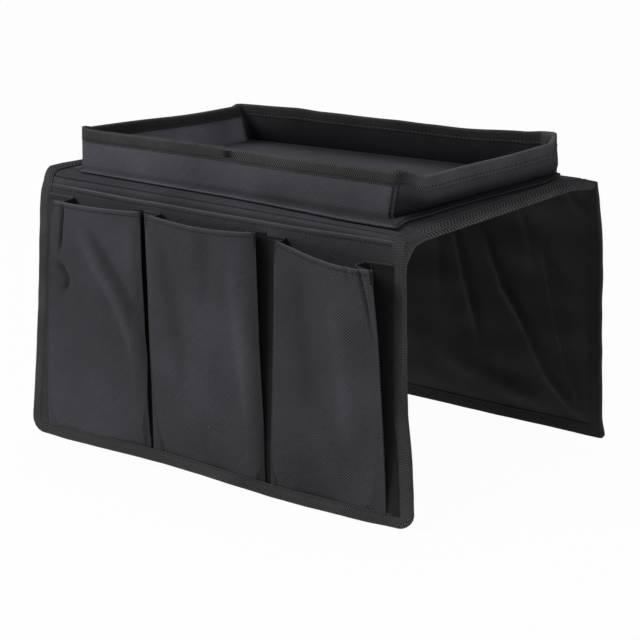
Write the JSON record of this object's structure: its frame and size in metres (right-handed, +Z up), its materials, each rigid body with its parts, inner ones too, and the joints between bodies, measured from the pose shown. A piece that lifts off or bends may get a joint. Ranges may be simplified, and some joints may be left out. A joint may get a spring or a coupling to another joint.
{
  "type": "sofa armrest organizer",
  "caption": "Stiffened cloth saddle that hangs over a sofa arm, with a walled tray on top, pleated pockets and a magazine pocket on its front flap.",
  "frame": {"origin": "middle of the arm seat, which is the underside of the top panel's lining", "axes": "+X along the sofa arm, +Z up; the pocketed front flap hangs on the -Y side and the plain back flap on the +Y side"},
  "size_m": [0.3296, 0.2867, 0.2295],
  "materials": {
    "cover_cloth": "matte",
    "pocket_cloth": "matte",
    "lining_cloth": "satin",
    "binding_tape": "matte",
    "stiffener_board": "matte"
  },
  "bodies": {
    "top": {"top_cover": "cover_cloth", "top_board": "stiffener_board", "top_lining": "lining_cloth", "top_binding_left": "binding_tape", "top_binding_right": "binding_tape", "tray_front_cover": "cover_cloth", "tray_front_board": "stiffener_board", "tray_front_lining": "lining_cloth", "tray_right_cover": "cover_cloth", "tray_right_board": "stiffener_board", "tray_right_lining": "lining_cloth", "tray_back_cover": "cover_cloth", "tray_back_board": "stiffener_board", "tray_back_lining": "lining_cloth", "tray_left_cover": "cover_cloth", "tray_left_board": "stiffener_board", "tray_left_lining": "lining_cloth", "tray_rim_binding": "binding_tape", "tray_base_welt": "cover_cloth", "front_fold_cover": "cover_cloth", "front_fold_lining": "lining_cloth", "front_fold_binding_left": "binding_tape", "front_fold_binding_right": "binding_tape", "back_fold_cover": "cover_cloth", "back_fold_lining": "lining_cloth", "back_fold_binding_left": "binding_tape", "back_fold_binding_right": "binding_tape"},
    "front_flap": {"front_cover": "cover_cloth", "front_board": "stiffener_board", "front_lining": "lining_cloth", "front_binding_left": "binding_tape", "front_binding_right": "binding_tape", "front_hem_binding": "binding_tape", "magazine_pocket_panel": "pocket_cloth", "pocket_left_gusset_left": "pocket_cloth", "pocket_left_gusset_right": "pocket_cloth", "pocket_middle_gusset_left": "pocket_cloth", "pocket_middle_gusset_right": "pocket_cloth", "pocket_right_gusset_left": "pocket_cloth", "pocket_right_gusset_right": "pocket_cloth"},
    "back_flap": {"back_cover": "cover_cloth", "back_board": "stiffener_board", "back_lining": "lining_cloth", "back_binding_left": "binding_tape", "back_binding_right": "binding_tape", "back_hem_binding": "binding_tape"},
    "pocket_left": {"pocket_left_front": "pocket_cloth"},
    "pocket_middle": {"pocket_middle_front": "pocket_cloth"},
    "pocket_right": {"pocket_right_front": "pocket_cloth"}
  },
  "joints": [
    {"name": "front_flap_hinge", "type": "hinge", "parent": "top", "child": "front_flap", "pos_m": [0, -0.1219, -0.0069], "axis": [-1, 0, 0], "range_deg": [-90, 90], "deforming": ["front_fold_cover", "front_fold_lining", "front_fold_binding_left", "front_fold_binding_right"]},
    {"name": "back_flap_hinge", "type": "hinge", "parent": "top", "child": "back_flap", "pos_m": [0, 0.12167, -0.0019], "axis": [1, 0, 0], "range_deg": [-94.5, 85.5], "deforming": ["back_fold_cover", "back_fold_lining", "back_fold_binding_left", "back_fold_binding_right"]},
    {"name": "pocket_left_mouth", "type": "hinge", "parent": "front_flap", "child": "pocket_left", "pos_m": [-0.1022, -0.1277, -0.1856], "axis": [1, 0, 0], "range_deg": [-0.8, 5], "deforming": ["pocket_left_gusset_left", "pocket_left_gusset_right"]},
    {"name": "pocket_middle_mouth", "type": "hinge", "parent": "front_flap", "child": "pocket_middle", "pos_m": [0, -0.1277, -0.1856], "axis": [1, 0, 0], "range_deg": [-1.1, 5], "deforming": ["pocket_middle_gusset_left", "pocket_middle_gusset_right"]},
    {"name": "pocket_right_mouth", "type": "hinge", "parent": "front_flap", "child": "pocket_right", "pos_m": [0.1022, -0.1277, -0.1856], "axis": [1, 0, 0], "range_deg": [-1.3, 5], "deforming": ["pocket_right_gusset_left", "pocket_right_gusset_right"]}
  ]
}
